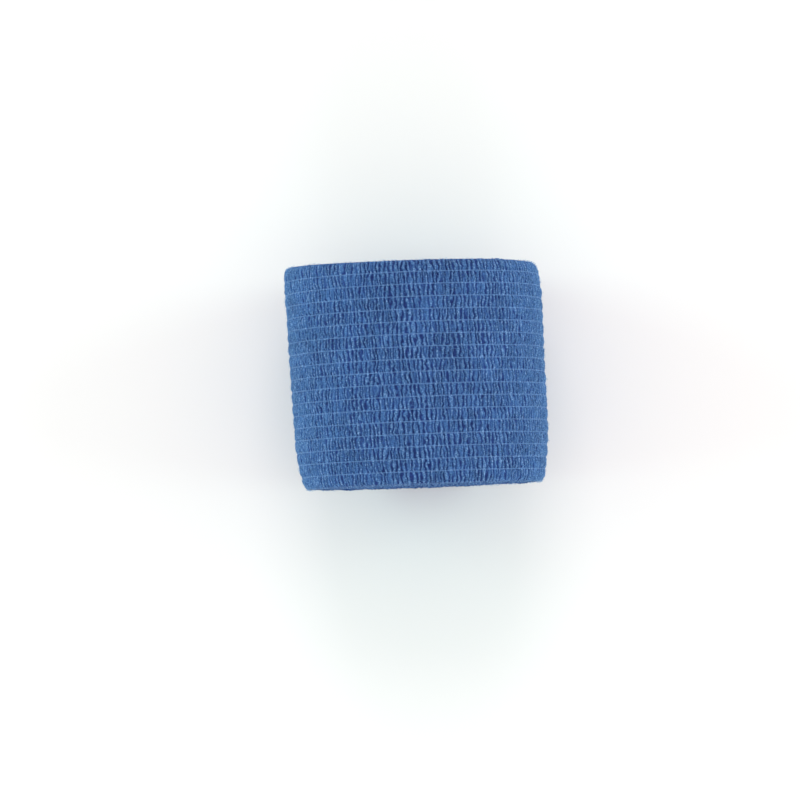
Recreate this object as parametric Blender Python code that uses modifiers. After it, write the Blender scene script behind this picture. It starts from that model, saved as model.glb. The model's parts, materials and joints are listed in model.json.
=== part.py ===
"""Cohesive bandage roll: one strip of blue crepe cloth wound on itself, lying on its side.

Blender 4.5 script, in metres. The roll's axis runs along Y, +Z is up, and the origin is under
the middle of the roll, on the surface that its small flat spot rests on.

The roll is one solid of its wound form: a turned body with an eye through it, whose round side
carries the rows of crepe that puff out between the elastic threads. The turned body is then
given what winding and handling do to it: the spiral with its one-layer step at the strip's two
ends, a slight cone and lean, an oval eye, squeezed corners and the flat it lies on.
"""

import math
from collections import namedtuple

import bpy

MM = 0.001

# --- driving sizes ---------------------------------------------------------------------------
BANDAGE_WIDTH = 50 * MM  # the strip's width, so the roll's length along its axis
ROLL_RADIUS = 29.3 * MM  # mean outer radius, over the crowns of the crepe rows
EYE_RADIUS = 4.8 * MM  # mean radius of the eye that the winding pin left
TURNS = 26  # whole turns, so both ends of the strip lie at one angle
ROWS = 18  # rows of crepe across the strip, parted by elastic threads

# --- worked out from them --------------------------------------------------------------------
LAYER_PITCH = (ROLL_RADIUS - EYE_RADIUS) / TURNS  # what one turn adds to the radius
ROW_PITCH = BANDAGE_WIDTH / ROWS
HALF_WIDTH = BANDAGE_WIDTH / 2

# --- crepe rows ------------------------------------------------------------------------------
THREAD_GROOVE = 0.32 * MM  # how far a thread draws the cloth in
ROW_SHOULDER = 0.3  # where a row reaches its full height, as a share of the row's width

# --- rims and eye ----------------------------------------------------------------------------
RIM_DROP = 1.6 * MM  # how far the soft rim falls away radially
RIM_REACH = 2.5 * MM  # over this length along the axis
RIM_STATIONS = (0.0, 0.35, 0.9, 1.7)  # millimetres in from the strip's edge
EYE_LIP = 0.8 * MM  # rounding of the innermost turns' edges
EYE_OVAL = 0.07  # the eye is this share wider than round, and as much lower

# --- how the winding came out ----------------------------------------------------------------
SEGMENTS = 60
SEGMENT = math.tau / SEGMENTS
MERGE_DISTANCE = 0.01 * MM
END_ANGLE = 54 * SEGMENT  # where both cut ends lie, from +X towards +Z
END_WALL = math.radians(0.6)  # the angle that the cut end's own thickness face takes up
CONE = 0.00037 / MM  # growth of the radius towards +Y, as a share of it for each metre
LYING_TILT = CONE * ROLL_RADIUS  # the axis rises towards +Y, so the underside lies level
LEAN = -math.tan(math.radians(1.2))  # sideways shift of the turns along the axis
SAG = 0.012  # share by which the roll is lower than it is wide
FLAT_DEPTH = 0.8 * MM  # how much of the round side is pressed flat underneath

# How far each bundle of turns sits along +Y, from the eye's lip (0) to the soft rim (1).
Drift = namedtuple("Drift", "way_out shift_mm")
DRIFTS = (
    Drift(0.00, 0.45),
    Drift(0.16, 0.35),
    Drift(0.34, -0.15),
    Drift(0.52, 0.20),
    Drift(0.70, -0.15),
    Drift(0.86, 0.10),
)

# Corners that handling has squeezed in. End is +1 or -1 along Y.
Squeeze = namedtuple("Squeeze", "end angle_deg spread_deg depth_mm reach_mm")
SQUEEZES = (
    Squeeze(-1, 184, 62, 1.5, 10.5),
    Squeeze(+1, 8, 55, 0.8, 7.0),
    Squeeze(-1, 330, 50, 0.5, 6.0),
    Squeeze(+1, 250, 60, 0.6, 7.0),
)
SQUEEZE_EASE = 1.5  # power by which a squeeze grows from nothing towards the roll's end

SHARP_ANGLE = math.radians(40)  # only the cut end and the flat spot's border are this sharp

CREPE_BLUE = (0.075, 0.190, 0.440, 1.0)
CREPE_ROUGHNESS = 0.85


def clear_scene():
    for obj in list(bpy.data.objects):
        bpy.data.objects.remove(obj, do_unlink=True)


def crepe_material():
    """Matt blue non-woven cloth."""
    material = bpy.data.materials.new("blue_crepe")
    material.use_nodes = True
    shader = material.node_tree.nodes["Principled BSDF"]
    shader.inputs["Base Color"].default_value = CREPE_BLUE
    shader.inputs["Roughness"].default_value = CREPE_ROUGHNESS
    shader.inputs["Metallic"].default_value = 0.0
    return material


def rim_drop(y):
    """How far the side has fallen at y, as a quarter of an ellipse at each end."""
    into_rim = max(0.0, abs(y) - (HALF_WIDTH - RIM_REACH)) / RIM_REACH
    return RIM_DROP * (1 - math.sqrt(1 - min(1.0, into_rim) ** 2))


def side_stations():
    """(y, groove depth) along the round side, from the -Y edge to the +Y edge."""
    stations = []
    for row in range(1, ROWS):
        thread_y = -HALF_WIDTH + row * ROW_PITCH
        stations.append((thread_y, THREAD_GROOVE))
        if row < ROWS - 1:
            stations.append((thread_y + ROW_SHOULDER * ROW_PITCH, 0.0))
            stations.append((thread_y + (1 - ROW_SHOULDER) * ROW_PITCH, 0.0))
    low_rim = [(-HALF_WIDTH + inset * MM, 0.0) for inset in RIM_STATIONS]
    high_rim = [(HALF_WIDTH - inset * MM, 0.0) for inset in reversed(RIM_STATIONS)]
    return low_rim + stations + high_rim


def end_face(end):
    """(radius, y) across one end of the roll, from the rim in to the eye's lip."""
    lip_radius = EYE_RADIUS + EYE_LIP
    rim_radius = ROLL_RADIUS - RIM_DROP
    points = []
    for drift in reversed(DRIFTS):
        radius = lip_radius + drift.way_out * (rim_radius - lip_radius)
        points.append((radius, end * HALF_WIDTH + drift.shift_mm * MM))
    points.append((EYE_RADIUS, end * (HALF_WIDTH - EYE_LIP) + DRIFTS[0].shift_mm * MM))
    return points


def roll_profile():
    """The closed outline that is turned about Y: side, one end, the eye and the other end."""
    side = [(ROLL_RADIUS - groove - rim_drop(y), y) for y, groove in side_stations()]
    return side[::-1] + end_face(-1) + end_face(+1)[::-1]


def turned_mesh(profile):
    """The profile turned about Y by a Screw modifier."""
    outline = bpy.data.meshes.new("roll_outline")
    corners = [(radius, y, 0.0) for radius, y in profile]
    edges = [(i, (i + 1) % len(corners)) for i in range(len(corners))]
    outline.from_pydata(corners, edges, [])
    turned = bpy.data.objects.new("roll_outline", outline)
    bpy.context.scene.collection.objects.link(turned)
    screw = turned.modifiers.new("turn", "SCREW")
    screw.axis = "Y"
    screw.steps = SEGMENTS
    screw.render_steps = SEGMENTS
    screw.use_merge_vertices = True
    screw.merge_threshold = MERGE_DISTANCE
    graph = bpy.context.evaluated_depsgraph_get()
    mesh = bpy.data.meshes.new_from_object(turned.evaluated_get(graph))
    bpy.data.objects.remove(turned, do_unlink=True)
    return mesh


def past_the_end(angle):
    """(angle, share of a turn) past the cut ends, with one segment narrowed to the cut's wall."""
    turned = (angle - END_ANGLE) % math.tau
    at_the_end = min(turned, math.tau - turned) < SEGMENT / 2
    if at_the_end:
        return END_ANGLE, 1.0
    narrowed = (math.tau - END_WALL) / (math.tau - SEGMENT)
    spread = END_WALL + (turned - SEGMENT) * narrowed
    return END_ANGLE + spread, spread / math.tau


def squeezed_in(angle, y):
    """How far handling has pressed the outside in at this angle and y."""
    depth = 0.0
    for squeeze in SQUEEZES:
        reach = squeeze.reach_mm * MM
        along = min(1.0, max(0.0, (squeeze.end * y - (HALF_WIDTH - reach)) / reach))
        away = math.degrees(angle) - squeeze.angle_deg
        away = (away + 180) % 360 - 180
        if abs(away) < squeeze.spread_deg:
            around = math.cos(math.radians(90 * away / squeeze.spread_deg)) ** 2
            depth += squeeze.depth_mm * MM * around * along**SQUEEZE_EASE
    return depth


def wound(point):
    """Where a point of the turned body lies once the roll is wound, leaning and squeezed.

    The spiral's step is full at the eye and on the round side, and fades between them, where
    each turn's edge lies against the next.
    """
    radius = math.hypot(point.x, point.z)
    angle, share = past_the_end(math.atan2(point.z, point.x))
    way_out = (radius - EYE_RADIUS) / (ROLL_RADIUS - EYE_RADIUS)
    radius += LAYER_PITCH * (share - 0.5) * (2 * way_out - 1) ** 2
    radius *= 1 + CONE * point.y * way_out
    radius -= squeezed_in(angle, point.y) * way_out**2
    oval = EYE_OVAL * (1 - way_out) ** 2
    x = radius * math.cos(angle) * (1 + oval) + LEAN * point.y
    z = radius * math.sin(angle) * (1 - oval) * (1 - SAG) + LYING_TILT * point.y
    return x, point.y, z


def bandage_roll(material):
    """The one solid of the object, with the flat spot it lies on and its origin under it."""
    mesh = turned_mesh(roll_profile())
    for vertex in mesh.vertices:
        vertex.co = wound(vertex.co)
    floor = min(vertex.co.z for vertex in mesh.vertices) + FLAT_DEPTH
    xs = [vertex.co.x for vertex in mesh.vertices]
    ys = [vertex.co.y for vertex in mesh.vertices]
    middle_x = (min(xs) + max(xs)) / 2
    middle_y = (min(ys) + max(ys)) / 2
    for vertex in mesh.vertices:
        vertex.co.x -= middle_x
        vertex.co.y -= middle_y
        vertex.co.z = max(0.0, vertex.co.z - floor)
    mesh.shade_smooth()
    mesh.set_sharp_from_angle(angle=SHARP_ANGLE)
    mesh.materials.clear()
    mesh.materials.append(material)
    return bpy.data.objects.new("bandage_roll", mesh)


def main():
    clear_scene()
    parts = bpy.data.collections.new("cohesive_bandage_roll")
    bpy.context.scene.collection.children.link(parts)
    parts.objects.link(bandage_roll(crepe_material()))


main()
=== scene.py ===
"""Looks of a cohesive bandage roll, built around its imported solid.

Blender 4.5 script, in metres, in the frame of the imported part: the roll lies on its side with
its axis along Y, +Z up, and its small pressed flat on the surface z = 0.

Every piece is first made as the winding machine leaves it, a true spiral about the Y axis, and
then shaped by RollForm, which holds what winding and handling did to the whole roll. The strip
is 50 mm wide crepe cloth that puffs out in rows between straight elastic threads.
"""

import json
import logging
import math
from collections.abc import Mapping
from dataclasses import dataclass, field
from enum import Enum, IntEnum
from functools import partial

import bpy
import numpy as np
from mathutils import Matrix, Vector

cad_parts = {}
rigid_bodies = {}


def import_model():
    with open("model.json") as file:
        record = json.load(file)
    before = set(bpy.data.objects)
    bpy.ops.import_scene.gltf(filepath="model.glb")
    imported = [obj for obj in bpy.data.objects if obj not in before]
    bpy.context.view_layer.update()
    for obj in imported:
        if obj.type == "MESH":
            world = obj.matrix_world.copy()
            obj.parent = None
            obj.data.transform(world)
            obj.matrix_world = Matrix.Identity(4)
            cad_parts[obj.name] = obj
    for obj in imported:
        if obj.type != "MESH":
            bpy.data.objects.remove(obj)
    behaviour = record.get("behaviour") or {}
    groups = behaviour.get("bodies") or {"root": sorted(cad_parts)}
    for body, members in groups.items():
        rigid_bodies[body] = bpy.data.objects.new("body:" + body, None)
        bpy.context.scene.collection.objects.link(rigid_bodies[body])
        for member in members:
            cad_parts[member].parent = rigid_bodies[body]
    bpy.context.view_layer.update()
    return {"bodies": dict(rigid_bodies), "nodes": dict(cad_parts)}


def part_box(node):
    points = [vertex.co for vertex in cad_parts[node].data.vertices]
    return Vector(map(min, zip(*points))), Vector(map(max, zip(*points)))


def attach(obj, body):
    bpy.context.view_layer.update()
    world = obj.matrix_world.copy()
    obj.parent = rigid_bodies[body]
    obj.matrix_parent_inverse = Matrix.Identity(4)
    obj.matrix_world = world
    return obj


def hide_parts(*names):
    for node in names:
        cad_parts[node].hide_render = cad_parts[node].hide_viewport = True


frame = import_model()

MM = 0.001
ROLL_NODE = "bandage_roll"
ROOT_BODY = "root"

log = logging.getLogger("bandage_roll")


class Facing(IntEnum):
    """Which side of a turn of cloth is seen."""

    OUTWARD = 1
    INWARD = -1


class RollEnd(IntEnum):
    """An end of the roll along Y."""

    LOW = -1
    HIGH = 1


class Band(Enum):
    """The part of a turn's width that a piece covers, as its first and last crepe row."""

    LOW = (0, 9)
    HIGH = (9, 18)
    WHOLE = (0, 18)


# --- small helpers ---------------------------------------------------------------------------


def linear(hex_colour: str) -> tuple[float, float, float, float]:
    """Turns an sRGB hex colour into Blender's linear colour.

    Args:
        hex_colour: six hex digits, with or without a leading #.

    Returns:
        Linear red, green, blue and an alpha of 1.
    """
    digits = hex_colour.lstrip("#")
    parts = [int(digits[i : i + 2], 16) / 255 for i in (0, 2, 4)]
    made = [c / 12.92 if c <= 0.04045 else ((c + 0.055) / 1.055) ** 2.4 for c in parts]
    return (made[0], made[1], made[2], 1.0)


def add_node(
    tree: bpy.types.NodeTree, kind: str, inputs: Mapping | None = None, **settings: object
) -> bpy.types.Node:
    """Adds a node with its settings and its inputs.

    Args:
        tree: the node tree that gets the node.
        kind: the node's type name.
        inputs: what each input gets, by its name or number: a value, an output to link, or a
            node whose first output is linked.
        settings: the node's own properties.

    Returns:
        The new node.
    """
    node = tree.nodes.new(kind)
    for name, value in settings.items():
        setattr(node, name, value)
    for key, value in (inputs or {}).items():
        if isinstance(value, bpy.types.Node):
            value = value.outputs[0]
        if isinstance(value, bpy.types.NodeSocket):
            tree.links.new(value, node.inputs[key])
        else:
            node.inputs[key].default_value = value
    return node


def new_material(name: str, looks: Mapping) -> tuple[bpy.types.Material, bpy.types.Node]:
    """Makes a material.

    Args:
        name: the material's name.
        looks: the values of its shader's inputs, by their names.

    Returns:
        The material and its shader.
    """
    material = bpy.data.materials.new(name)
    material.use_nodes = True
    shader = material.node_tree.nodes["Principled BSDF"]
    for label, value in looks.items():
        shader.inputs[label].default_value = value
    return material, shader


def link_object(name: str, data: bpy.types.ID) -> bpy.types.Object:
    """Makes an object at the origin and links it to the scene."""
    made = bpy.data.objects.new(name, data)
    bpy.context.scene.collection.objects.link(made)
    return made


def mesh_places(mesh: bpy.types.Mesh) -> np.ndarray:
    """The places of a mesh's points, one row each."""
    flat = np.empty(len(mesh.vertices) * 3, np.float32)
    mesh.vertices.foreach_get("co", flat)
    return flat.reshape(-1, 3).astype(float)


def move_mesh(mesh: bpy.types.Mesh, places: np.ndarray) -> None:
    """Moves a mesh's points to new places, one row each."""
    mesh.vertices.foreach_set("co", places.astype(np.float32).ravel())
    mesh.update()


def put_attribute(mesh: bpy.types.Mesh, name: str, values: np.ndarray) -> None:
    """Stores one number for each point of a mesh, for a material or a node tree to read."""
    attribute = mesh.attributes.new(name, "FLOAT", "POINT")
    attribute.data.foreach_set("value", values.astype(np.float32).ravel())


def smooth(share: np.ndarray) -> np.ndarray:
    """Smooth step from 0 to 1 as share goes from 0 to 1."""
    held = np.clip(share, 0.0, 1.0)
    return held * held * (3 - 2 * held)


class SmoothNoise:
    """Repeatable smooth noise on a plane, from -1 to 1, with one bump to about each unit."""

    CELLS = (1024, 64)

    def __init__(self, seed: int) -> None:
        """Draws the lattice that the noise runs through.

        Args:
            seed: number that picks the pattern.
        """
        self.lattice = np.random.default_rng(seed).uniform(-1, 1, self.CELLS)

    def at(self, along: np.ndarray, across: np.ndarray | float = 0.0) -> np.ndarray:
        """Reads the noise.

        Args:
            along: first coordinate, one bump to a unit.
            across: second coordinate, one bump to a unit.

        Returns:
            The noise at each point.
        """
        along, across = np.broadcast_arrays(along, across)
        cell_a, cell_b = np.floor(along).astype(int), np.floor(across).astype(int)
        share_a, share_b = smooth(along - cell_a), smooth(across - cell_b)
        a0, a1 = cell_a % self.CELLS[0], (cell_a + 1) % self.CELLS[0]
        b0, b1 = cell_b % self.CELLS[1], (cell_b + 1) % self.CELLS[1]
        low = self.lattice[a0, b0] * (1 - share_a) + self.lattice[a1, b0] * share_a
        high = self.lattice[a0, b1] * (1 - share_a) + self.lattice[a1, b1] * share_a
        return low * (1 - share_b) + high * share_b


# --- the form of the roll --------------------------------------------------------------------


@dataclass(frozen=True)
class Squeeze:
    """A corner that handling has pressed in."""

    end: RollEnd
    angle_deg: float
    spread_deg: float
    depth: float
    reach: float


@dataclass(frozen=True)
class RollForm:
    """Sizes of the wound roll, and what winding and handling did to it."""

    width: float = 50 * MM
    radius: float = 29.3 * MM
    eye_radius: float = 4.8 * MM
    turns: int = 26
    rows: int = 18
    end_angle: float = math.radians(324)
    cone: float = 0.00037 / MM
    lean: float = -math.tan(math.radians(1.2))
    sag: float = 0.012
    eye_oval: float = 0.07
    flat_depth: float = 0.8 * MM
    pressed_height: float = 4.0 * MM  # the turns this near the floor share the flattening
    rim_drop: tuple[float, float] = (0.8 * MM, 1.1 * MM)  # at the -Y and the +Y end
    rim_reach: float = 2.5 * MM
    rim_depth: float = 9.0 * MM  # turns this far in no longer bend down at the rim
    # how far the bundles of turns sit along +Y, in mm, from the eye (0) to the outside (1)
    drift_way: tuple[float, ...] = (0.0, 0.16, 0.34, 0.52, 0.70, 0.86, 0.97)
    drift_shift: tuple[float, ...] = (0.45, 0.35, -0.15, 0.20, -0.15, 0.10, 0.0)
    squeezes: tuple[Squeeze, ...] = (
        Squeeze(RollEnd.LOW, 184, 62, 1.5 * MM, 10.5 * MM),
        Squeeze(RollEnd.HIGH, 8, 55, 0.8 * MM, 7.0 * MM),
        Squeeze(RollEnd.LOW, 330, 50, 0.5 * MM, 6.0 * MM),
        Squeeze(RollEnd.HIGH, 250, 60, 0.6 * MM, 7.0 * MM),
        Squeeze(RollEnd.LOW, 4, 52, 1.4 * MM, 13.0 * MM),
    )
    squeeze_ease: float = 1.5
    pushed_low: float = 0.10 * MM  # how far the turns' edges are pushed in at the -Y end
    pushed_high: float = 0.20 * MM  # and at the +Y end
    swell: float = 0.75 * MM  # how far they stand out again at the +Y end's -X side
    pushed_reach: float = 4.0 * MM
    flat_length: float = 1.64  # length of the cloth laid smooth, for each length as wound
    crown_points: tuple[int, int] = (361, 41)  # around the outer turn, and along the roll

    @property
    def half_width(self) -> float:
        """Half the strip's width."""
        return self.width / 2

    @property
    def row_pitch(self) -> float:
        """Width of one crepe row, from thread to thread."""
        return self.width / self.rows

    @property
    def layer_pitch(self) -> float:
        """What one turn adds to the radius."""
        return (self.radius - self.eye_radius) / self.turns

    def spiral_radius(self, turn: np.ndarray | float) -> np.ndarray | float:
        """Radius of the middle of the cloth after this many turns from the inner end."""
        return self.eye_radius + self.layer_pitch * turn

    def run(self, turn: np.ndarray | float) -> np.ndarray | float:
        """Length of strip wound after this many turns."""
        return math.tau * (self.eye_radius * turn + self.layer_pitch * turn**2 / 2)

    def wound(self, turn: np.ndarray, across: np.ndarray, height: np.ndarray) -> np.ndarray:
        """Places on the true spiral.

        Args:
            turn: turns from the inner end.
            across: places across the strip, from its middle.
            height: height over the middle of the turn's layer.

        Returns:
            The places, with x, y and z along the last axis.
        """
        radius = self.spiral_radius(turn) + height
        angle = self.end_angle + math.tau * turn
        placed = (radius * np.cos(angle), across, radius * np.sin(angle))
        return np.stack(np.broadcast_arrays(*placed), axis=-1)

    def squeezed(self, angle: np.ndarray, y: np.ndarray) -> np.ndarray:
        """How far handling has pressed the outside in.

        Args:
            angle: angles from +X towards +Z.
            y: places along the roll.

        Returns:
            Inward depth at each point.
        """
        depth = np.zeros_like(y)
        for squeeze in self.squeezes:
            start = self.half_width - squeeze.reach
            along = np.clip((squeeze.end * y - start) / squeeze.reach, 0, 1)
            away = np.degrees(angle) - squeeze.angle_deg
            away = np.clip((away + 180) % 360 - 180, -squeeze.spread_deg, squeeze.spread_deg)
            around = np.cos(np.radians(90 * away / squeeze.spread_deg)) ** 2
            depth += squeeze.depth * around * along**self.squeeze_ease
        return depth

    def leaning(self, points: np.ndarray) -> np.ndarray:
        """Gives wound points the cone, lean, oval eye, soft rims and squeezed corners.

        Args:
            points: places on the true spiral, one row each.

        Returns:
            Their places on the handled roll, with the axis still at z = 0.
        """
        x, y, z = points.T
        radius, angle = np.hypot(x, z), np.arctan2(z, x)
        way_out = (radius - self.eye_radius) / (self.radius - self.eye_radius)
        held = np.clip(way_out, 0, 1)
        into_rim = np.clip((np.abs(y) - self.half_width) / self.rim_reach + 1, 0, 1)
        drop = np.where(y < 0, *self.rim_drop) * (1 - np.sqrt(1 - into_rim**2))
        near_skin = smooth(1 - (1 - held) * (self.radius - self.eye_radius) / self.rim_depth)
        y = y + np.interp(held, self.drift_way, self.drift_shift) * MM
        from_low, from_high = y + self.half_width, self.half_width - y
        y = y + self.pushed_low * smooth(1 - from_low / self.pushed_reach)
        pushed = self.pushed_high - self.swell * (np.clip(-np.cos(angle), 0, 1) * held) ** 2
        y = y - pushed * smooth(1 - from_high / self.pushed_reach)
        radius = radius * (1 + self.cone * y * held) - drop * near_skin
        radius -= self.squeezed(angle, y) * held**2
        oval = self.eye_oval * (1 - held) ** 2
        x = radius * np.cos(angle) * (1 + oval) + self.lean * y
        z = radius * np.sin(angle) * (1 - oval) * (1 - self.sag) + self.cone * self.radius * y
        return np.column_stack((x, y, z))

    def crown(self) -> np.ndarray:
        """Points over the outer crown of the roll, once leaning."""
        around, along = self.crown_points
        turn, y = np.meshgrid(np.linspace(0, 1, around), np.linspace(-1, 1, along))
        over = self.layer_pitch * (self.turns - 0.5)
        points = self.wound(turn, y * self.half_width, np.full_like(turn, over))
        return self.leaning(points.reshape(-1, 3))

    def lying(self, points: np.ndarray) -> np.ndarray:
        """Lays wound points on the floor, with the pressed flat underneath.

        Args:
            points: places on the true spiral, one row each.

        Returns:
            Their places in the row frame.
        """
        crown = self.crown()
        middle = (crown[:, 0].min() + crown[:, 0].max()) / 2
        floor = crown[:, 2].min() + self.flat_depth
        made = self.leaning(points)
        made[:, 0] -= middle
        made[:, 2] -= floor
        axis_x = self.lean * made[:, 1] - middle
        axis_z = self.cone * self.radius * made[:, 1] - floor
        beside = np.clip((made[:, 0] - axis_x) / self.radius, -1, 1)
        under = axis_z - (1 - self.sag) * self.radius * np.sqrt(1 - beside**2)
        lift = np.clip(-under, 0, None)
        share = (self.pressed_height - made[:, 2]) / (self.pressed_height - under)
        made[:, 2] += lift * np.clip(share, 0, 1)
        made[:, 2] = np.clip(made[:, 2], 0, None)
        return made


@dataclass(frozen=True)
class Stray:
    """How something about the cloth strays from even, as smooth noise over the strip."""

    number: int  # of its noise, so that no two stray alike
    most: float  # either way
    along: float  # length of strip to a bump
    across: float = 1.0  # bumps to a row


@dataclass(frozen=True)
class CrepeRelief:
    """The crepe's puckers, which run across the strip and are held in by the threads."""

    form: RollForm
    seed: int = 11
    pucker: float = 1.02 * MM  # one pucker and its valley, along the strip
    split: float = 0.64  # length of the smaller puckers, as a share of a whole one
    depth: float = 0.52 * MM  # from the crest to the valley, in the middle of a row
    crest: float = 0.36 * MM  # of the cloth's middle, over the middle of its layer
    thread_groove: float = 0.17 * MM
    shoulder: float = 0.30  # where a row reaches its full height, as a share of its width
    held_in: float = 0.60  # depth of a valley at a thread, as a share of its full depth
    jog: float = 0.12  # share of a row over which puckers shift from row to row
    # the phase of the puckers, in radians
    drift: Stray = Stray(0, 2.4, 5.5 * MM, 1 / 3.5)  # together with the rows beside
    shift: Stray = Stray(1, 1.5, 1.9 * MM)  # row by row
    slant: Stray = Stray(2, 2.2, 2.6 * MM)  # from one side of a row to the other
    waver: Stray = Stray(3, 1.5, 0.8 * MM, 2.7)
    ragged: Stray = Stray(6, 1.3, 0.5 * MM, 4.9)
    small_drift: Stray = Stray(4, 2.2, 1.5 * MM, 1.6)  # of the smaller puckers
    small_bend: float = 1.3  # how much more the smaller ones slant and waver
    small_height: float = 0.85  # and how high they are, as a share of a whole one
    # how far the smaller puckers take over from the whole ones, which makes them fork
    forked: float = 0.38
    forking: Stray = Stray(5, 0.55, 1.8 * MM)
    fork_slant: float = 1.3  # how much that also changes across a row
    steepness: float = 0.62  # of the puckers' sides; past 0.5, crests and valleys are level
    roundness: float = 1.15  # of the crests
    # the cloth's height
    even_depth: float = 0.85  # mean depth of the puckers, as a share of the depth
    uneven: Stray = Stray(10, 0.35, 1.6 * MM, 1.2)  # and how far that varies
    lumps: Stray = Stray(11, 0.09 * MM, 7.0 * MM, 0.5)
    wrinkles: Stray = Stray(12, 0.11 * MM, 0.42 * MM, 4.9)
    facets: Stray = Stray(13, 0.20 * MM, 0.62 * MM, 3.7)
    facet_slant: float = 0.248 * MM  # how far they move along the strip from row to row
    # the strip's cut end
    end_lift: float = 0.28 * MM  # how far it stands off
    lift_reach: float = 5.0 * MM
    lift_wave: tuple[float, float] = (0.7, 0.5)  # share of it: the mean, and most either way
    lift_rows: float = 2.5  # rows to a bump
    lift_noise: int = 14  # number of its noise

    def stray(self, kind: Stray, run: np.ndarray, row: np.ndarray) -> np.ndarray:
        """How far something strays at places along the strip, in these rows."""
        noise = SmoothNoise(self.seed + kind.number)
        return kind.most * noise.at(run / kind.along, row * kind.across)

    def rows(self, across: np.ndarray) -> np.ndarray:
        """How many rows lie before each place across the strip."""
        return (across + self.form.half_width) / self.form.row_pitch

    def from_thread(self, across: np.ndarray) -> np.ndarray:
        """Distance to the nearest elastic thread, as a share of a row's width."""
        row = self.rows(across)
        return np.abs(row - np.clip(np.round(row), 1, self.form.rows - 1))

    def row_line(self, row: np.ndarray) -> np.ndarray:
        """The row's number, which changes over a short way at each thread."""
        nearest = np.round(row)
        step = smooth((row - nearest + self.jog) / (2 * self.jog))
        return np.where(np.abs(row - nearest) < self.jog, nearest - 1 + step, np.floor(row))

    def folds(self, run: np.ndarray, across: np.ndarray) -> np.ndarray:
        """How high each point of the cloth is folded, from 0 in a valley to 1 on a crest.

        Args:
            run: places along the strip.
            across: places across the strip, from its middle.

        Returns:
            The height, of puckers that vary, slant, fork and jog from row to row.
        """
        row = self.rows(across)
        line = self.row_line(row)
        inside = row - np.floor(row) - 0.5
        bend = self.stray(self.slant, run, line) * inside
        bend = bend + self.stray(self.waver, run, row) + self.stray(self.ragged, run, row)
        whole = math.tau * run / self.pucker + self.stray(self.drift, run, row)
        whole = whole + self.stray(self.shift, run, line) + bend
        small = math.tau * run / (self.pucker * self.split)
        small = small + self.stray(self.small_drift, run, line) + self.small_bend * bend
        forking = self.stray(self.forking, run, line + self.fork_slant * row)
        share = np.clip(self.forked + forking, 0, 1)
        wave = (1 - share) * np.sin(whole) + share * self.small_height * np.sin(small)
        return np.clip(0.5 + self.steepness * wave, 0, 1)

    def surface(self, run: np.ndarray, across: np.ndarray) -> tuple[np.ndarray, np.ndarray]:
        """Height of the cloth's middle over the middle of its layer.

        Args:
            run: places along the strip.
            across: places across the strip, from its middle.

        Returns:
            The height, and how near each point is to a crest, from 0 to 1.
        """
        row = self.rows(across)
        away = smooth(self.from_thread(across) / self.shoulder)
        fold = self.folds(run, across)
        depth = self.depth * (self.even_depth + self.stray(self.uneven, run, row))
        depth *= self.held_in + (1 - self.held_in) * away
        height = self.crest - self.thread_groove * (1 - away)
        height = height - depth * (1 - fold) ** self.roundness
        height += self.stray(self.lumps, run, row) + self.stray(self.wrinkles, run, row)
        height -= np.abs(self.stray(self.facets, run + self.facet_slant * row, row))
        near_end = smooth((run - self.form.run(self.form.turns)) / self.lift_reach + 1)
        middle, most = self.lift_wave
        flap = middle + most * SmoothNoise(self.seed + self.lift_noise).at(row / self.lift_rows)
        height += self.end_lift * near_end**2 * flap
        return height, fold


# --- pieces ----------------------------------------------------------------------------------


def mesh_object(name: str, points: np.ndarray, faces: np.ndarray) -> bpy.types.Object:
    """Makes a smooth mesh object at the origin from points and four-sided faces.

    Args:
        name: the piece's name.
        points: places in the row frame, one row each.
        faces: four point numbers for each face.

    Returns:
        The object, linked to the scene.
    """
    mesh = bpy.data.meshes.new(name)
    mesh.vertices.add(len(points))
    mesh.vertices.foreach_set("co", points.astype(np.float32).ravel())
    mesh.loops.add(faces.size)
    mesh.loops.foreach_set("vertex_index", faces.astype(np.int32).ravel())
    mesh.polygons.add(len(faces))
    mesh.polygons.foreach_set("loop_start", np.arange(0, faces.size, 4, dtype=np.int32))
    mesh.update(calc_edges=True)
    mesh.validate()
    mesh.shade_smooth()
    return link_object(name, mesh)


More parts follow.
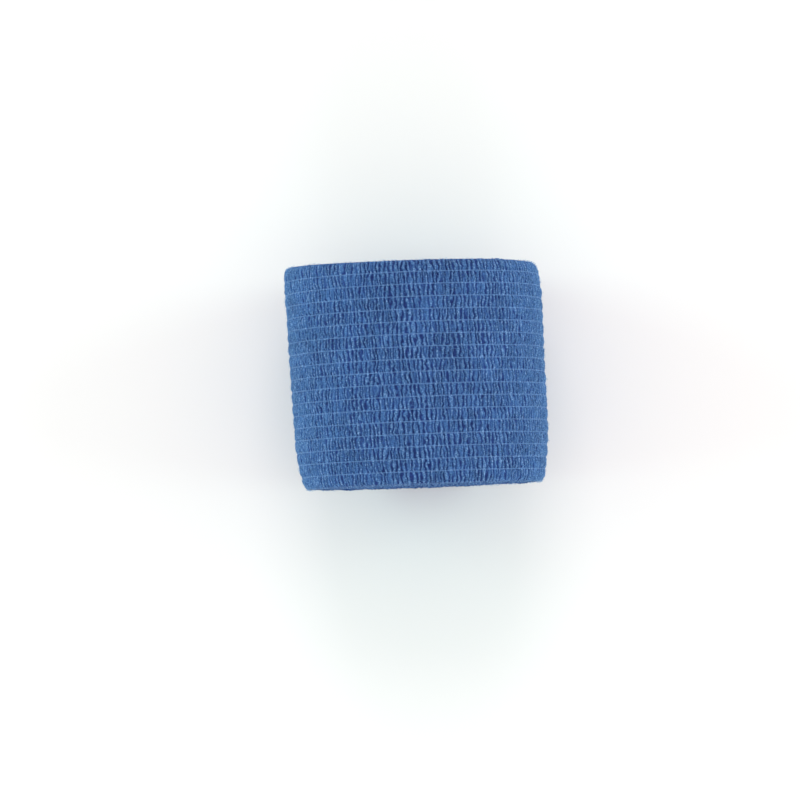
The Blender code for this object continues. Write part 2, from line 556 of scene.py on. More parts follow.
@dataclass
class CrepeTurn:
    """One turn of the strip, or a band of its width, with its relief modelled."""

    form: RollForm
    relief: CrepeRelief
    name: str
    band: Band
    facing: Facing
    first_turn: float
    last_turn: float
    columns: int
    row_stations: tuple[float, ...] = (0.0, 0.09, 0.21, 0.35, 0.5, 0.65, 0.79, 0.91)
    rim_insets: tuple[float, ...] = (0.05, 0.22, 0.5)  # extra stations near an edge, in mm
    cloth: float = 0.24 * MM  # thickness of the cloth itself
    hem_stations: int = 6  # how many stations of the hidden side are made along an edge
    cut_wander: float = 0.22 * MM  # how far the cut at the strip's end strays from straight
    cut_reach: float = 3.0 * MM
    cut_noise: int = 30  # number of its noise
    # bumps to a row, and how much they count
    cut_waves: tuple[tuple[float, float], ...] = ((1 / 3, 1.0), (1.7, 0.4))
    fuzzy_rim: float = 1.5 * MM  # width beside an edge where more fibres are loose
    rim_fuzz: float = 3.0  # how many times more, right at the edge
    thread_mark: float = 0.09  # how far a thread pales the cloth, as a share of a row's width

    def stations(self) -> np.ndarray:
        """Places across the strip where the mesh has points."""
        first, last = self.band.value
        shares = [row + share for row in range(first, last) for share in self.row_stations]
        across = np.array(shares + [last]) * self.form.row_pitch - self.form.half_width
        insets = np.array(self.rim_insets) * MM
        extra = []
        if first == 0:
            extra.append(insets - self.form.half_width)
        if last == self.form.rows:
            extra.append(self.form.half_width - insets)
        return np.unique(np.concatenate([across, *extra]).round(8))

    def cut(self, turn: np.ndarray, across: np.ndarray) -> np.ndarray:
        """Turns that the columns near the strip's outer end are moved by, so it is cut unevenly."""
        girth = math.tau * self.form.radius
        near_end = smooth((turn - self.form.turns) * girth / self.cut_reach + 1)
        stray = SmoothNoise(self.relief.seed + self.cut_noise)
        row = self.relief.rows(across)
        waves = sum(share * stray.at(row * often) for often, share in self.cut_waves)
        return self.cut_wander / girth * near_end * waves

    def build(self) -> bpy.types.Object:
        """Makes the turn's mesh: its seen side, its edges and the hem of its hidden side."""
        across = self.stations()[:, None]
        turn = np.linspace(self.first_turn, self.last_turn, self.columns)[None, :]
        turn = turn + self.cut(turn, across)
        height, crest = self.relief.surface(self.form.run(turn), across)
        half = self.cloth / 2 * self.facing
        seen = self.form.wound(turn, across, height + half)
        hidden = self.form.wound(turn, across, height - half)
        points = np.concatenate([seen.reshape(-1, 3), hidden.reshape(-1, 3)])
        faces = self.faces(*height.shape)
        used, faces = np.unique(faces, return_inverse=True)
        faces = faces.reshape(-1, 4)
        if self.facing is Facing.INWARD:
            faces = faces[:, ::-1]
        made = mesh_object(self.name, self.form.lying(points[used]), faces)
        near_rim = 1 - smooth((self.form.half_width - np.abs(across)) / self.fuzzy_rim)
        looks = {
            "crest": crest,
            "thread": 1 - smooth(self.relief.from_thread(across) / self.thread_mark),
            "fuzz": crest * (1 + self.rim_fuzz * near_rim),
        }
        for name, values in looks.items():
            grid = np.broadcast_to(values, height.shape).ravel()
            put_attribute(made.data, name, np.concatenate([grid, grid])[used])
        return made

    def faces(self, rows: int, columns: int) -> np.ndarray:
        """Point numbers of the faces, for a grid of points on each side of the cloth.

        Args:
            rows: points across the strip.
            columns: points along it.

        Returns:
            Four point numbers for each face, facing outwards from the roll's axis.
        """
        seen = np.arange(rows * columns).reshape(rows, columns)
        hidden = seen + rows * columns
        first, last = self.band.value
        sides = [
            (seen[:-1, :-1], seen[1:, :-1], seen[1:, 1:], seen[:-1, 1:]),
            (seen[1:, -1], hidden[1:, -1], hidden[:-1, -1], seen[:-1, -1]),
        ]
        hem = np.zeros((rows - 1, columns - 1), bool)
        hem[:, -self.hem_stations :] = True
        if first == 0:
            hem[: self.hem_stations] = True
            sides.append((seen[0, :-1], seen[0, 1:], hidden[0, 1:], hidden[0, :-1]))
        if last == self.form.rows:
            hem[-self.hem_stations :] = True
            sides.append((seen[-1, 1:], seen[-1, :-1], hidden[-1, :-1], hidden[-1, 1:]))
        under = (hidden[:-1, :-1], hidden[:-1, 1:], hidden[1:, 1:], hidden[1:, :-1])
        sides.append(tuple(corner[hem] for corner in under))
        return np.concatenate([np.stack(corners, axis=-1).reshape(-1, 4) for corners in sides])


class PieceNodes:
    """A Geometry Nodes tree that makes one piece, with a named input for each of its sizes."""

    def __init__(self, name: str, sizes: Mapping[str, tuple[str, object]]) -> None:
        """Starts the tree.

        Args:
            name: the tree's name.
            sizes: each input's kind (Float, Int, Material or Geometry) and value, by its name.
                A value of None stands for the geometry of the object that carries the tree.
        """
        self.tree = bpy.data.node_groups.new(name, "GeometryNodeTree")
        sockets = self.tree.interface
        sockets.new_socket("Geometry", in_out="OUTPUT", socket_type="NodeSocketGeometry")
        self.values: dict[str, object] = {}
        for label, (kind, value) in sizes.items():
            socket = sockets.new_socket(label, in_out="INPUT", socket_type="NodeSocket" + kind)
            if value is not None:
                self.values[socket.identifier] = value
        self.add = partial(add_node, self.tree)
        self.given = self.add("NodeGroupInput").outputs

    def close(self, geometry: bpy.types.Node) -> None:
        """Ends the tree: realizes its instances and gives them the input called Finish."""
        whole = self.add("GeometryNodeRealizeInstances", {0: geometry})
        looks = {"Geometry": whole, "Material": self.given["Finish"]}
        dressed = self.add("GeometryNodeSetMaterial", looks)
        self.add("NodeGroupOutput", {0: dressed})

    def run_on(self, carrier: bpy.types.Object) -> bpy.types.Mesh:
        """Runs the tree on an object and returns the result as a plain mesh.

        Args:
            carrier: the object that carries the modifier. It is removed.

        Returns:
            The evaluated mesh, smooth, with its instances realized.
        """
        modifier = carrier.modifiers.new(self.tree.name, "NODES")
        modifier.node_group = self.tree
        for identifier, value in self.values.items():
            modifier[identifier] = value
        graph = bpy.context.evaluated_depsgraph_get()
        mesh = bpy.data.meshes.new_from_object(carrier.evaluated_get(graph))
        bpy.data.objects.remove(carrier, do_unlink=True)
        mesh.shade_smooth()
        return mesh


@dataclass(frozen=True)
class Change:
    """A size that varies along the strip, as smooth noise."""

    spacing: float  # one bump to about this length of strip
    least: float
    most: float


EDGE_CHANGES = {
    "Phase": Change(2.1 * MM, -2.1, 2.1),  # of the puckers, in radians
    "Pucker Height": Change(1.5 * MM, 0.30 * MM, 0.95 * MM),
    "Looseness": Change(3.4 * MM, -0.16 * MM, 0.16 * MM),  # of a turn on the one below
    "Wander": Change(9.0 * MM, -0.36 * MM, 0.36 * MM),  # of the winding, along the roll
    "Fray": Change(0.7 * MM, -0.20 * MM, 0.20 * MM),  # of the cut edge, along the roll
}


@dataclass
class WoundEdges:
    """The edges of the inner turns at one end of the roll, as one spiral strip of cloth."""

    form: RollForm
    end: RollEnd
    finish: bpy.types.Material
    first_turn: float = 1.0
    last_turn: float = 25.0
    columns: int = 14000
    turn_points: int = 180  # in each turn, before the columns are spaced evenly
    section_points: int = 6
    crowding: float = 2.8  # how strongly the section's points stay near its round tip
    pucker: float = 1.05 * MM
    within: float = 0.62  # share of a pucker's height that lies below its turn's middle
    cloth: float = 0.42 * MM
    edge_depth: float = 2.0 * MM
    under_skin: float = -0.10 * MM  # outward shift of the last turn, which stays under the skin
    fuzzy_depth: float = 0.5 * MM  # loose fibres stand on this much of the edge
    noise_span: tuple[float, float] = (0.22, 0.78)  # what the noise texture mostly gives
    noise_apart: float = 7.0  # between the noises of two changes
    end_noise: tuple[float, float] = (37.0, 50.0)  # their middle, and each end's distance from it

    def nodes(self) -> PieceNodes:
        """Builds the Geometry Nodes tree that sweeps the cloth's section along the spiral."""
        middle, away = self.end_noise
        sizes = {
            "Turns": ("Float", self.last_turn - self.first_turn),
            "Start Radius": ("Float", self.form.spiral_radius(self.first_turn)),
            "End Radius": ("Float", self.form.spiral_radius(self.last_turn) + self.under_skin),
            "Start Angle": ("Float", self.form.end_angle),
            "Columns": ("Int", self.columns),
            "Pucker Length": ("Float", self.pucker),
            "Within": ("Float", self.within),
            "Cloth Thickness": ("Float", self.cloth),
            "Edge Depth": ("Float", self.edge_depth),
            "Seed": ("Float", middle + away * self.end),
            "Finish": ("Material", self.finish),
        }
        for name, change in EDGE_CHANGES.items():
            sizes[f"{name} Spacing"] = ("Float", change.spacing)
            sizes[f"{name} Least"] = ("Float", change.least)
            sizes[f"{name} Most"] = ("Float", change.most)
        made = PieceNodes("wound_edges", sizes)
        add, given = made.add, made.given
        line = self.spiral(made)
        run = add("GeometryNodeInputNamedAttribute", {"Name": "run"}, data_type="FLOAT")
        varied = self.varied(made, run)
        waves = add("ShaderNodeMath", {0: run, 1: given["Pucker Length"]}, operation="DIVIDE")
        angle = {0: waves, 1: math.pi, 2: varied["Phase"]}
        phase = add("ShaderNodeMath", angle, operation="MULTIPLY_ADD")
        wave = add("ShaderNodeMath", {0: phase}, operation="SINE")
        crest = add("ShaderNodeMath", {0: wave}, operation="ABSOLUTE")
        above = add("ShaderNodeMath", {0: crest, 1: given["Within"]}, operation="SUBTRACT")
        rise = {0: above, 1: varied["Pucker Height"], 2: varied["Looseness"]}
        swing = add("ShaderNodeMath", rise, operation="MULTIPLY_ADD")
        place = add("GeometryNodeInputPosition")
        outward = add("ShaderNodeVectorMath", {0: place}, operation="NORMALIZE")
        offset = add("ShaderNodeVectorMath", {0: outward, "Scale": swing}, operation="SCALE")
        puckered = add("GeometryNodeSetPosition", {"Geometry": line, "Offset": offset})
        upright = add("GeometryNodeSetCurveNormal", {0: puckered}, mode="Z_UP")
        strip = {"Curve": upright, "Profile Curve": self.section(made)}
        swept = add("GeometryNodeCurveToMesh", strip)
        stray = add("ShaderNodeMath", {0: varied["Wander"], 1: varied["Fray"]}, operation="ADD")
        sideways = add("ShaderNodeCombineXYZ", {"Z": stray})
        frayed = add("GeometryNodeSetPosition", {"Geometry": swept, "Offset": sideways})
        kept = {"Geometry": frayed, "Name": "crest", "Value": crest}
        made.close(add("GeometryNodeStoreNamedAttribute", kept, data_type="FLOAT", domain="POINT"))
        return made

    def spiral(self, made: PieceNodes) -> bpy.types.Node:
        """Adds the nodes of the turns' centre line, whose points know how far along they are."""
        add, given = made.add, made.given
        radii = {name: given[name] for name in ("Start Radius", "End Radius")}
        shape = {"Resolution": self.turn_points, "Rotations": given["Turns"], "Height": 0.0, **radii}
        line = add("GeometryNodeCurveSpiral", shape)
        start = add("ShaderNodeCombineXYZ", {"Z": given["Start Angle"]})
        turned = add("GeometryNodeTransform", {"Geometry": line, "Rotation": start})
        even = add("GeometryNodeResampleCurve", {"Curve": turned, "Count": given["Columns"]})
        length = add("GeometryNodeSplineParameter").outputs["Length"]
        kept = {"Geometry": even, "Name": "run", "Value": length}
        return add("GeometryNodeStoreNamedAttribute", kept, data_type="FLOAT", domain="POINT")

    def varied(self, made: PieceNodes, run: bpy.types.Node) -> dict[str, bpy.types.Node]:
        """Adds the nodes of everything that varies along the strip.

        Args:
            made: the tree that they are added to.
            run: gives the length of strip before each point.

        Returns:
            The node of each change, by its name.
        """
        add, given = made.add, made.given
        low, high = self.noise_span
        values = {}
        for number, name in enumerate(EDGE_CHANGES):
            along = add("ShaderNodeMath", {0: run, 1: given[f"{name} Spacing"]}, operation="DIVIDE")
            spot = {"X": along, "Y": given["Seed"], "Z": self.noise_apart * number}
            texture = {"Vector": add("ShaderNodeCombineXYZ", spot), "Scale": 1.0, "Detail": 1.0}
            span = {
                "Value": add("ShaderNodeTexNoise", texture),
                "From Min": low,
                "From Max": high,
                "To Min": given[f"{name} Least"],
                "To Max": given[f"{name} Most"],
            }
            values[name] = add("ShaderNodeMapRange", span, clamp=False)
        return values

    def section(self, made: PieceNodes) -> bpy.types.Node:
        """Adds the nodes of the cloth's section: round at its edge, straight and open below."""
        add, given = made.add, made.given
        half_turn = {"Radius": 1.0, "Start Angle": 0.0, "Sweep Angle": math.pi}
        arc = add("GeometryNodeCurveArc", {"Resolution": self.section_points, **half_turn})
        place = add("GeometryNodeInputPosition")
        spot = add("ShaderNodeSeparateXYZ", {0: place}).outputs
        half = add("ShaderNodeMath", {0: given["Cloth Thickness"], 1: 0.5}, operation="MULTIPLY")
        wide = add("ShaderNodeMath", {0: spot["X"], 1: half}, operation="MULTIPLY")
        down = add("ShaderNodeMath", {0: 1.0, 1: spot["Y"]}, operation="SUBTRACT")
        eased = add("ShaderNodeMath", {0: down, 1: self.crowding}, operation="POWER")
        deep = add("ShaderNodeMath", {0: eased, 1: given["Edge Depth"]}, operation="MULTIPLY")
        below = add("ShaderNodeMath", {0: 0.0, 1: deep}, operation="SUBTRACT")
        target = add("ShaderNodeCombineXYZ", {"X": wide, "Y": below})
        return add("GeometryNodeSetPosition", {"Geometry": arc, "Position": target})

    def build(self) -> bpy.types.Object:
        """Makes the spiral strip, brings it to its end of the roll and shapes it with the roll."""
        name = f"wound_edges_{self.end.name.lower()}"
        mesh = self.nodes().run_on(link_object(name, bpy.data.meshes.new(name)))
        local = mesh_places(mesh)
        across = self.end * (self.form.half_width - local[:, 2])
        wound = np.column_stack((local[:, 0], across, local[:, 1]))
        move_mesh(mesh, self.form.lying(wound))
        if self.end is RollEnd.LOW:
            mesh.flip_normals()
        put_attribute(mesh, "fuzz", 1 - smooth(local[:, 2] / self.fuzzy_depth - 0.5))
        return link_object(name, mesh)


@dataclass
class PackedTurns:
    """The body of the inner turns, pressed together, deep behind their edges."""

    form: RollForm
    segments: int = 180
    round_eye: float = 0.45 * MM  # past the middle of the innermost turn
    under_skin: float = 0.35 * MM  # past the middle of the last turn below the outer one
    behind_edges: float = 1.1 * MM

    def build(self) -> bpy.types.Object:
        """Makes the closed body, whose inner and outer walls follow the spiral."""
        turn = (np.arange(self.segments) + 0.5) / self.segments
        last = turn + self.form.turns - 2
        end = self.form.half_width - self.behind_edges
        rings = (
            self.form.wound(last, end, self.under_skin),
            self.form.wound(last, -end, self.under_skin),
            self.form.wound(turn, -end, self.round_eye),
            self.form.wound(turn, end, self.round_eye),
        )
        number = np.arange(len(rings) * self.segments).reshape(len(rings), self.segments)
        beside = np.roll(number, -1, axis=1)
        after, after_beside = np.roll(number, -1, axis=0), np.roll(beside, -1, axis=0)
        faces = np.stack((number, beside, after_beside, after), axis=-1).reshape(-1, 4)
        return mesh_object("packed_turns", self.form.lying(np.concatenate(rings)), faces)


@dataclass
class ElasticThreads:
    """The straight elastic threads that hold the crepe in, on the outer turn."""

    form: RollForm
    relief: CrepeRelief
    finish: bpy.types.Material
    first_turn: float
    last_turn: float
    yarn: float = 0.12 * MM
    sides: int = 5
    columns: int = 330
    over_cloth: float = 0.12 * MM  # over the middle of the cloth
    wander: float = 0.06 * MM
    wander_spacing: float = 4.0 * MM
    drawn_over: float = 0.3 * MM  # the thread bridges valleys that are about this wide
    seed: int = 71

    def lines(self) -> bpy.types.Object:
        """The threads' centre lines, lying on the cloth, as a mesh of edges."""
        turn = np.linspace(self.first_turn, self.last_turn, self.columns)
        run = self.form.run(turn)
        wander = SmoothNoise(self.seed)
        points, edges = [], []
        for row in range(1, self.form.rows):
            across = np.full_like(run, row * self.form.row_pitch - self.form.half_width)
            beside = [self.relief.surface(run + d * self.drawn_over, across)[0] for d in (-1, 0, 1)]
            height = (np.max(beside, axis=0) + np.mean(beside, axis=0)) / 2 + self.over_cloth
            across = across + self.wander * wander.at(run / self.wander_spacing, row)
            number = len(points) * self.columns + np.arange(self.columns)
            edges.append(np.column_stack((number[:-1], number[1:])))
            points.append(self.form.wound(turn, across, height))
        placed = self.form.lying(np.concatenate(points))
        placed[:, 2] = np.clip(placed[:, 2], self.yarn / 2, None)
        mesh = bpy.data.meshes.new("thread_lines")
        mesh.from_pydata(placed.tolist(), np.concatenate(edges).tolist(), [])
        return link_object("thread_lines", mesh)

    def build(self) -> bpy.types.Object:
        """Sweeps a round yarn along every centre line with Geometry Nodes."""
        sizes = {
            "Lines": ("Geometry", None),
            "Yarn Radius": ("Float", self.yarn / 2),
            "Sides": ("Int", self.sides),
            "Finish": ("Material", self.finish),
        }
        made = PieceNodes("elastic_threads", sizes)
        add, given = made.add, made.given
        curves = add("GeometryNodeMeshToCurve", {0: given["Lines"]})
        section = {"Resolution": given["Sides"], "Radius": given["Yarn Radius"]}
        ring = add("GeometryNodeCurvePrimitiveCircle", section)
        tube = {"Curve": curves, "Profile Curve": ring, "Fill Caps": True}
        made.close(add("GeometryNodeCurveToMesh", tube))
        return link_object("elastic_threads", made.run_on(self.lines()))


@dataclass
class FibreFuzz:
    """Loose fibres that stand off the cloth as small bows, where its attribute fuzz says so."""

    name: str
    surface: bpy.types.Object
    finish: bpy.types.Material
    density: float  # fibres for each square metre where the attribute is 1
    seed: int
    bow_radius: float = 0.50 * MM
    bow_sweep: float = math.radians(140)
    fibre: float = 0.028 * MM
    sides: int = 3
    sunk: float = 0.05 * MM
    steps: int = 4
    tilt: tuple[float, float] = (0.9, 0.5)  # most that a bow leans, along itself and over
    sizes: tuple[float, float] = (0.55, 1.35)

    def bow(self, made: PieceNodes) -> bpy.types.Node:
        """Adds the nodes of one fibre, arched over the origin with both ends below it."""
        add, given = made.add, made.given
        slack = add("ShaderNodeMath", {0: math.pi, 1: given["Bow Sweep"]}, operation="SUBTRACT")
        first = add("ShaderNodeMath", {0: slack, 1: 0.5}, operation="MULTIPLY")
        sweep = {"Start Angle": first, "Sweep Angle": given["Bow Sweep"]}
        size = {"Resolution": given["Steps"], "Radius": given["Bow Radius"]}
        arc = add("GeometryNodeCurveArc", {**size, **sweep})
        rise = add("ShaderNodeMath", {0: first}, operation="SINE")
        sunk = {0: rise, 1: given["Bow Radius"], 2: given["Sunk"]}
        foot = add("ShaderNodeMath", sunk, operation="MULTIPLY_ADD")
        down = add("ShaderNodeMath", {0: 0.0, 1: foot}, operation="SUBTRACT")
        move = add("ShaderNodeCombineXYZ", {"Z": down})
        stood = {"Geometry": arc, "Translation": move, "Rotation": (math.pi / 2, 0.0, 0.0)}
        upright = add("GeometryNodeTransform", stood)
        section = {"Resolution": self.sides, "Radius": given["Fibre Radius"]}
        ring = add("GeometryNodeCurvePrimitiveCircle", section)
        tube = {"Curve": upright, "Profile Curve": ring, "Fill Caps": True}
        return add("GeometryNodeCurveToMesh", tube)

    def build(self) -> bpy.types.Object:
        """Scatters the fibres over the surface with Geometry Nodes."""
        sizes = {
            "Surface": ("Geometry", None),
            "Density": ("Float", self.density),
            "Bow Radius": ("Float", self.bow_radius),
            "Bow Sweep": ("Float", self.bow_sweep),
            "Fibre Radius": ("Float", self.fibre / 2),
            "Sunk": ("Float", self.sunk),
            "Steps": ("Int", self.steps),
            "Seed": ("Int", self.seed),
            "Finish": ("Material", self.finish),
        }
        made = PieceNodes("fibre_fuzz", sizes)
        add, given = made.add, made.given
        seed = {"Seed": given["Seed"]}
        fuzz = add("GeometryNodeInputNamedAttribute", {"Name": "fuzz"}, data_type="FLOAT")
        often = add("ShaderNodeMath", {0: fuzz, 1: given["Density"]}, operation="MULTIPLY")
        spread = {"Mesh": given["Surface"], "Density": often, **seed}
        points = add("GeometryNodeDistributePointsOnFaces", spread).outputs
        lean, over = self.tilt
        turns = {0: (-lean, -over, 0.0), 1: (lean, over, math.tau), **seed}
        turn = add("FunctionNodeRandomValue", turns, data_type="FLOAT_VECTOR")
        scales = {2: self.sizes[0], 3: self.sizes[1], **seed}
        size = add("FunctionNodeRandomValue", scales, data_type="FLOAT").outputs[1]
        where = {name: points[name] for name in ("Points", "Rotation")}
        stood = {**where, "Instance": self.bow(made), "Scale": size}
        placed = add("GeometryNodeInstanceOnPoints", stood)
        made.close(add("GeometryNodeRotateInstances", {"Instances": placed, "Rotation": turn}))
        mesh = made.run_on(link_object(self.name, self.surface.data.copy()))
        places = mesh_places(mesh)
        places[:, 2] = np.clip(places[:, 2], 0, None)
        move_mesh(mesh, places)
        return link_object(self.name, mesh)


# --- finishes --------------------------------------------------------------------------------


@dataclass(frozen=True)
class Grain:
    """One scale at which a cloth is uneven."""

    spacing: float
    detail: float = 2.0
    stretch: float = 1.0  # how much longer it is along the roll
    kind: str = "FBM"


@dataclass(frozen=True)
class CrepeFinish:
    """Non-woven polyester cloth, spun-laid and coated with latex so that it clings to itself.

    To the eye it is matt and slightly fuzzy. Its colour holds painted light: a pale painted
    highlight on the crests, where loose fibre catches the light, and painted shade down in the
    valleys.
    """

    name: str = "crepe_nonwoven_polyester"
    # painted shade: the colour down in the valleys, darker and more violet than the cloth
    valley: str = "#1F3573"
    cloth: str = "#3F679E"
    # painted highlight: the pale colour put on the crests where they catch the light; it also pales
    # the cloth beside a thread
    highlight_and_thread_pale: str = "#88A4CC"
    sheen_tint: str = "#A9DAF2"
    roughness: float = 0.82
    specular: float = 0.25
    sheen: float = 0.15
    sheen_roughness: float = 0.45
    fibre: Grain = Grain(0.22 * MM, 3.0)  # drawn coarser than the real fibres, about 0.02 mm
    crinkle: Grain = Grain(1.1 * MM, 3.0, 1.6, "RIDGED_MULTIFRACTAL")
    mottle: Grain = Grain(0.30 * MM, 2.0, 0.8)
    blotch: Grain = Grain(6.0 * MM)
    fibre_height: float = 0.08 * MM
    crinkle_height: float = 0.16 * MM
    fibre_bump: float = 0.8
    crinkle_bump: float = 0.9
    shade: tuple[float, float] = (0.54, 1.44)  # how dark and how light the dye comes out
    shade_span: tuple[float, float] = (0.95, 1.6)  # of the noises' sum, from dark to light
    shade_fibre: float = 1.2  # weight of the fibres in that sum, and of the blotches
    shade_blotch: float = 0.35
    valley_shade_span: tuple[float, float] = (0.05, 0.75)  # of the folds' height, from the painted valley shade to the cloth
    highlight_span: tuple[float, float] = (0.55, 1.0)  # of the folds' height, from no painted highlight to the most
    highlight_most: float = 0.8
    highlight_spots: tuple[float, float] = (0.45, 0.68)  # of the mottling, from none to all of it
    thread_pale: float = 0.25  # beside a thread

    def build(self) -> bpy.types.Material:
        """Builds the material's nodes."""
        looks = {
            "Roughness": self.roughness,
            "Metallic": 0.0,
            "Specular IOR Level": self.specular,
            "Sheen Weight": self.sheen,
            "Sheen Roughness": self.sheen_roughness,
            "Sheen Tint": linear(self.sheen_tint),
        }
        material, shader = new_material(self.name, looks)
        add = partial(add_node, material.node_tree)
        place = add("ShaderNodeTexCoord").outputs["Object"]
        crest = add("ShaderNodeAttribute", attribute_name="crest").outputs["Fac"]
        thread = add("ShaderNodeAttribute", attribute_name="thread").outputs["Fac"]
        grains = []
        for grain in (self.fibre, self.crinkle, self.mottle, self.blotch):
            often = 1 / grain.spacing
            spots = {0: place, 1: (often, often / grain.stretch, often)}
            scaled = add("ShaderNodeVectorMath", spots, operation="MULTIPLY")
            texture = {"Vector": scaled, "Scale": 1.0, "Detail": grain.detail}
            grains.append(add("ShaderNodeTexNoise", texture, noise_type=grain.kind))
        fibres, crinkles, mottles, blotches = grains
        # painted shade: the lower the folds, the nearer the cloth comes to the valley colour
        low, high = self.valley_shade_span
        span = {"Value": crest, "From Min": low, "From Max": high}
        lit = add("ShaderNodeMapRange", span, interpolation_type="SMOOTHSTEP")
        colour_mix = {"Factor": lit, "A": linear(self.valley), "B": linear(self.cloth)}
        body = add("ShaderNodeMix", colour_mix, data_type="RGBA").outputs["Result"]
        # painted highlight: mottled pale speckles on the crests, added to the paler cloth beside a
        # thread
        low, high = self.highlight_span
        span = {"Value": crest, "From Min": low, "From Max": high, "To Max": self.highlight_most}
        crest_highlight = add("ShaderNodeMapRange", span)
        low, high = self.highlight_spots
        spots = add("ShaderNodeMapRange", {"Value": mottles, "From Min": low, "From Max": high})
        highlight_speckle = add("ShaderNodeMath", {0: crest_highlight, 1: spots}, operation="MULTIPLY")
        parts = {0: thread, 1: self.thread_pale, 2: highlight_speckle}
        pale = add("ShaderNodeMath", parts, operation="MULTIPLY_ADD")
        colour_mix = {"Factor": pale, "A": body, "B": linear(self.highlight_and_thread_pale)}
        highlighted_and_paled = add("ShaderNodeMix", colour_mix, data_type="RGBA").outputs["Result"]
        parts = {0: blotches, 1: self.shade_blotch, 2: mottles}
        cloudy = add("ShaderNodeMath", parts, operation="MULTIPLY_ADD")
        parts = {0: fibres, 1: self.shade_fibre, 2: cloudy}
        uneven = add("ShaderNodeMath", parts, operation="MULTIPLY_ADD")
        (low, high), (dark, light) = self.shade_span, self.shade
        span = {"From Min": low, "From Max": high, "To Min": dark, "To Max": light}
        shade = add("ShaderNodeMapRange", {"Value": uneven, **span})
        dyed_and_shaded = add("ShaderNodeHueSaturation", {"Value": shade, "Color": highlighted_and_paled})
        relief = {"Height": crinkles, "Strength": self.crinkle_bump, "Distance": self.crinkle_height}
        folded = add("ShaderNodeBump", relief)
        relief = {"Height": fibres, "Strength": self.fibre_bump, "Distance": self.fibre_height}
        rough = add("ShaderNodeBump", {**relief, "Normal": folded})
        material.node_tree.links.new(dyed_and_shaded.outputs[0], shader.inputs["Base Color"])
        material.node_tree.links.new(rough.outputs[0], shader.inputs["Normal"])
        return material


@dataclass(frozen=True)
class YarnFinish:
    """Fine yarn or fibre that varies a little in colour along its length."""

    name: str
    light: str
    deep: str
    roughness: float
    specular: float
    spacing: float
    span: tuple[float, float] = (0.3, 0.7)  # of the noise, from deep to light

    def build(self) -> bpy.types.Material:
        """Builds the material's nodes."""
        looks = {
            "Roughness": self.roughness,
            "Metallic": 0.0,
            "Specular IOR Level": self.specular,
        }
        material, shader = new_material(self.name, looks)
        add = partial(add_node, material.node_tree)
        place = add("ShaderNodeTexCoord").outputs["Object"]
        noise = add("ShaderNodeTexNoise", {"Vector": place, "Scale": 1 / self.spacing})
        low, high = self.span
        uneven = add("ShaderNodeMapRange", {"Value": noise, "From Min": low, "From Max": high})
        colour_mix = {"Factor": uneven, "A": linear(self.deep), "B": linear(self.light)}
        mixed = add("ShaderNodeMix", colour_mix, data_type="RGBA").outputs["Result"]
        material.node_tree.links.new(mixed, shader.inputs["Base Color"])
        return material


# Covered elastane: a fine pale yarn, a little glossier than the cloth.
ELASTIC_THREAD = YarnFinish("elastane_thread", "#6C96CE", "#4B75B2", 0.6, 0.2, 0.9 * MM)

# Loose polyester fibre, drawn from the melt: so fine that it looks paler than the cloth itself.
LOOSE_FIBRE = YarnFinish("polyester_fibre", "#80B0DB", "#6592C3", 0.7, 0.3, 2.0 * MM)


# --- studio ----------------------------------------------------------------------------------


@dataclass(frozen=True)
class Lamp:
    """A soft square light that faces the roll."""

    name: str
    place: tuple[float, float, float]
    size: float  # length of its side
    power: float  # in watts
    tint: tuple[float, float, float]

    def build(self) -> None:
        """Adds the light to the scene."""
        light = bpy.data.lights.new(self.name, "AREA")
        light.shape = "SQUARE"
        light.size = self.size
        light.energy = self.power
        light.color = self.tint
        made = link_object(self.name, light)
        made.location = self.place
        made.rotation_euler = Vector(self.place).to_track_quat("Z", "Y").to_euler()


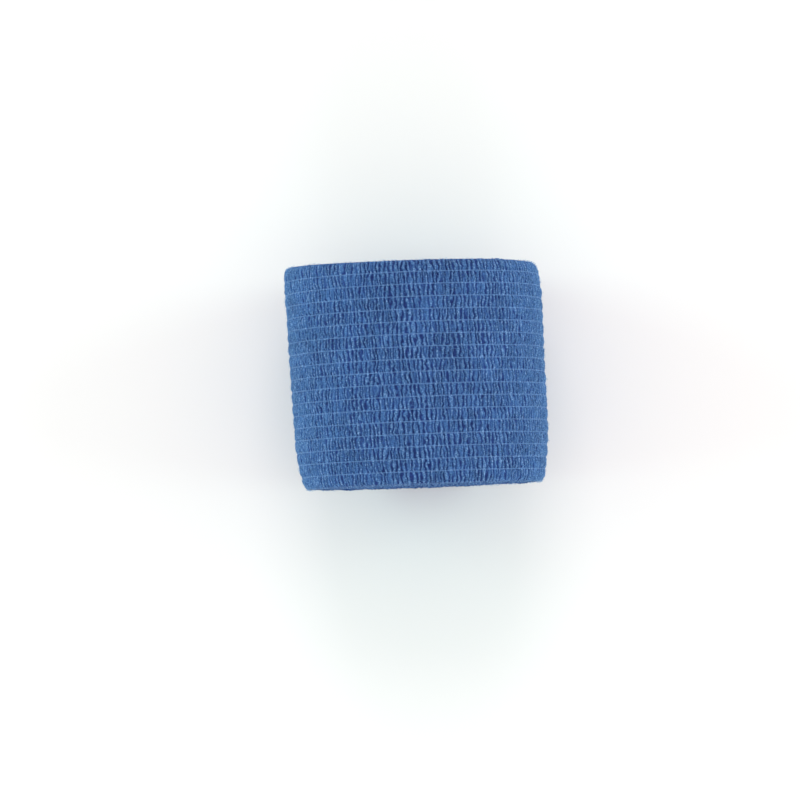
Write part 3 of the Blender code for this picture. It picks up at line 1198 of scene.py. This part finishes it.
@dataclass
class Studio:
    """A plain pale floor, soft light and the camera that looks down on the roll."""

    distance: float = 1.0  # from the camera to the roll's axis
    scale_px: float = 4380.0  # focal length in pixels of an 800 pixel picture
    picture_px: float = 800.0
    sensor_mm: float = 36.0
    tilt_deg: float = 2.05  # how far the +Y end leans away from the camera
    turn_deg: float = 2.17  # how far the roll is turned in the picture
    beside: float = 3.82 * MM  # the roll's middle, right of the picture's middle
    above: float = 5.38 * MM  # and above it
    nearest: float = 0.05  # that the camera sees
    floor: str = "#FFF7F5"
    floor_roughness: float = 0.9
    floor_side: float = 6.0
    floor_gap: float = 0.02 * MM  # below the roll's flat, so that the two faces don't meet
    sky: tuple[float, float, float, float] = (1.0, 0.965, 0.98, 1.0)
    sky_strength: float = 0.68
    lamps: tuple[Lamp, ...] = (
        Lamp("left_light", (-0.75, 0.10, 0.30), 0.55, 3.10, (0.56, 1.0, 0.93)),
        Lamp("right_light", (0.75, 0.05, 0.30), 0.55, 3.10, (0.67, 1.0, 0.955)),
        Lamp("top_light", (0.0, 0.75, 0.75), 0.50, 2.45, (1.0, 0.945, 0.97)),
        Lamp("low_light", (0.0, -0.75, 0.30), 0.50, 1.90, (0.86, 0.98, 0.985)),
    )

    def camera(self) -> None:
        """Places the camera at the photograph's viewing angle."""
        tilt, turn = math.radians(self.tilt_deg), math.radians(self.turn_deg)
        view = Matrix.Rotation(turn, 3, "Z") @ Matrix.Rotation(-tilt, 3, "X")
        low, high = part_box(ROLL_NODE)
        middle = Vector((0.0, 0.0, (low[2] + high[2]) / 2))
        seen_from = Vector((-self.beside, -self.above, self.distance))
        lens = bpy.data.cameras.new("camera")
        lens.sensor_width = self.sensor_mm
        lens.lens = self.sensor_mm * self.scale_px / self.picture_px
        lens.clip_start = self.nearest
        made = link_object("camera", lens)
        turned = view.transposed()
        made.matrix_world = Matrix.Translation(middle + turned @ seen_from) @ turned.to_4x4()
        bpy.context.scene.camera = made

    def ground(self) -> None:
        """Lays the floor of smooth matt paper."""
        mesh = bpy.data.meshes.new("floor")
        side = self.floor_side / 2
        corners = [(-side, -side), (side, -side), (side, side), (-side, side)]
        mesh.from_pydata([(x, y, -self.floor_gap) for x, y in corners], [], [(0, 1, 2, 3)])
        looks = {"Base Color": linear(self.floor), "Roughness": self.floor_roughness}
        mesh.materials.append(new_material("floor_paper", looks)[0])
        link_object("floor", mesh)

    def build(self) -> None:
        """Builds the floor, the lights, the world and the camera."""
        self.ground()
        for lamp in self.lamps:
            lamp.build()
        world = bpy.data.worlds.new("studio")
        world.use_nodes = True
        sky = world.node_tree.nodes["Background"]
        sky.inputs["Color"].default_value = self.sky
        sky.inputs["Strength"].default_value = self.sky_strength
        bpy.context.scene.world = world
        bpy.context.scene.view_settings.view_transform = "Standard"
        bpy.context.scene.view_settings.look = "None"
        self.camera()


# --- the whole -------------------------------------------------------------------------------


@dataclass
class BandageRoll:
    """The whole roll: its outer and inner turns, the edges between them, threads and fibres."""

    form: RollForm = field(default_factory=RollForm)
    skin_columns: int = 1170
    eye_columns: int = 200
    eye_turns: float = 1.04  # of the strip, which line the eye
    eye_depth: float = 0.5 * MM  # of the puckers in the eye
    eye_seed: int = 90
    overlap: float = 0.06  # of the outer turn under its own end, in turns
    skin_fibres: float = 1.0e6  # for each square metre
    edge_fibres: float = 2.0e5
    fibre_seed: int = 5

    def build(self) -> list[bpy.types.Object]:
        """Returns:
            All the pieces.
        """
        form = self.form
        crepe, elastic, loose = CrepeFinish().build(), ELASTIC_THREAD.build(), LOOSE_FIBRE.build()
        relief = CrepeRelief(form)
        eye_relief = CrepeRelief(form, seed=self.eye_seed, depth=self.eye_depth)
        last, first = float(form.turns), form.turns - 1 - self.overlap
        span = (first, last, self.skin_columns)
        skins = [
            CrepeTurn(form, relief, f"outer_turn_{side}", band, Facing.OUTWARD, *span).build()
            for side, band in (("low", Band.LOW), ("high", Band.HIGH))
        ]
        inner = CrepeTurn(
            form,
            eye_relief,
            "inner_turn",
            Band.WHOLE,
            Facing.INWARD,
            first_turn=0.0,
            last_turn=self.eye_turns,
            columns=self.eye_columns,
            row_stations=(0.0, 0.3, 0.7),
            rim_insets=(),
        )
        eye = inner.build()
        packed = PackedTurns(form).build()
        # packed_turns carries no crest attribute, so the crepe finish gives it the painted valley
        # shade all over
        for piece in (*skins, eye, packed):
            piece.data.materials.append(crepe)
        edges = [WoundEdges(form, end, crepe).build() for end in RollEnd]
        threads = ElasticThreads(form, relief, elastic, first, last).build()
        fuzzy = [(skin, self.skin_fibres) for skin in skins] + [(e, self.edge_fibres) for e in edges]
        fuzz = [
            FibreFuzz(f"loose_fibres_{i}", cloth, loose, density, self.fibre_seed + i).build()
            for i, (cloth, density) in enumerate(fuzzy)
        ]
        length = (form.run(last) - form.run(first)) * form.flat_length
        eye_length = form.run(inner.last_turn) * form.flat_length
        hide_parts(ROLL_NODE)
        return [*skins, eye, *edges, packed, threads, *fuzz]


def clear_start_scene() -> None:
    """Removes what Blender's own start scene holds, apart from the frame."""
    kept = {o.name for o in frame["nodes"].values()} | {o.name for o in frame["bodies"].values()}
    for made in list(bpy.data.objects):
        if made.name not in kept:
            bpy.data.objects.remove(made, do_unlink=True)


def main() -> None:
    """Builds the roll and its studio, and hands every piece to the frame."""
    logging.basicConfig(level=logging.INFO, format="%(name)s: %(message)s")
    clear_start_scene()
    for piece in BandageRoll().build():
        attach(piece, ROOT_BODY)
        triangles = sum(len(p.vertices) - 2 for p in piece.data.polygons)
        log.info("%s: %d triangles", piece.name, triangles)
    Studio().build()


if __name__ == "__main__":
    main()
